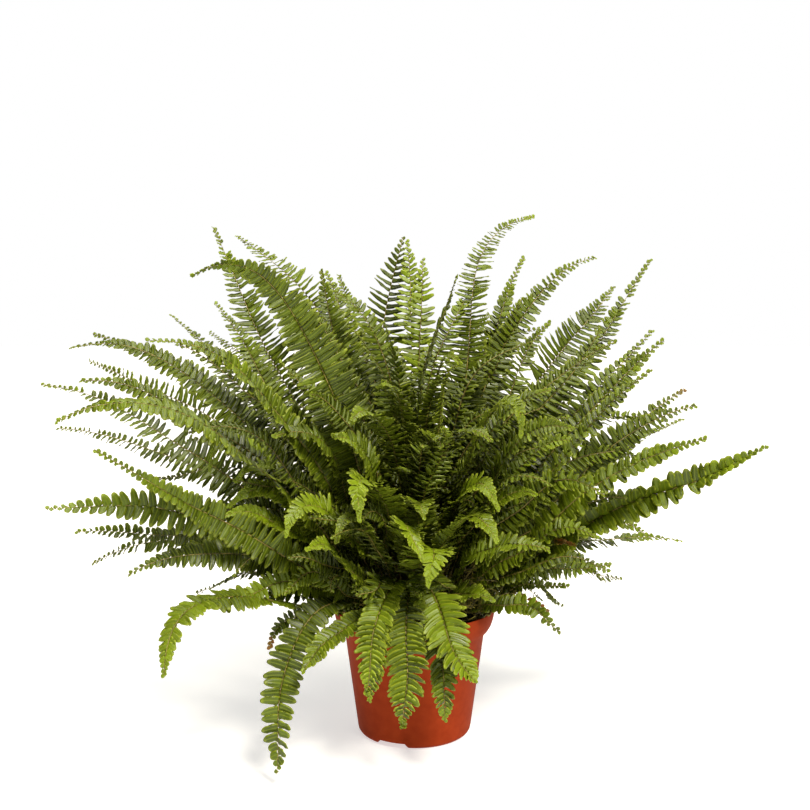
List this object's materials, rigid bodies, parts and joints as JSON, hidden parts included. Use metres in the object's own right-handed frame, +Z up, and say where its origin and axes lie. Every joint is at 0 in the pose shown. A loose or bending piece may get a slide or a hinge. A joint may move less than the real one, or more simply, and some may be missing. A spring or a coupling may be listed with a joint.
{
  "type": "potted fern",
  "caption": "Bushy sword fern with arching feathery fronds, growing from a scaly rootstock in a round plastic nursery pot of soil.",
  "frame": {"origin": "on the pot's axis, in the plane of the surface that the pot stands on", "axes": "+Z up along the pot's axis, +X to the right as seen from the front, -Y towards whoever looks at the front"},
  "size_m": [0.7518, 0.5754, 0.5456],
  "materials": {
    "pot": "satin",
    "soil": "matte",
    "rootstock": "matte",
    "frond": "satin"
  },
  "bodies": {
    "root": {"nursery_pot": "pot", "potting_soil": "soil", "rootstock": "rootstock", "frond_top_1": "frond", "frond_top_2": "frond", "frond_top_3": "frond", "frond_top_4": "frond", "frond_top_5": "frond", "frond_top_6": "frond", "frond_top_7": "frond", "frond_top_8": "frond", "frond_top_9": "frond", "frond_top_10": "frond", "frond_top_11": "frond", "frond_right_1": "frond", "frond_right_2": "frond", "frond_right_3": "frond", "frond_right_4": "frond", "frond_right_5": "frond", "frond_right_6": "frond", "frond_right_7": "frond", "frond_right_8": "frond", "frond_right_9": "frond", "frond_right_10": "frond", "frond_right_11": "frond", "frond_right_12": "frond", "frond_right_13": "frond", "frond_left_1": "frond", "frond_left_2": "frond", "frond_left_3": "frond", "frond_left_4": "frond", "frond_left_5": "frond", "frond_left_6": "frond", "frond_left_7": "frond", "frond_left_8": "frond", "frond_left_9": "frond", "frond_left_10": "frond", "frond_left_11": "frond", "frond_left_12": "frond", "frond_left_13": "frond", "frond_left_14": "frond", "frond_left_15": "frond", "frond_left_16": "frond", "frond_left_17": "frond", "frond_front_1": "frond", "frond_front_2": "frond", "frond_front_3": "frond", "frond_front_4": "frond", "frond_front_5": "frond", "frond_front_6": "frond", "frond_front_7": "frond", "frond_back_1": "frond", "frond_back_2": "frond", "frond_back_3": "frond", "frond_back_4": "frond", "frond_back_5": "frond", "frond_back_6": "frond", "frond_back_7": "frond", "frond_back_8": "frond", "frond_back_9": "frond"}
  },
  "joints": []
}
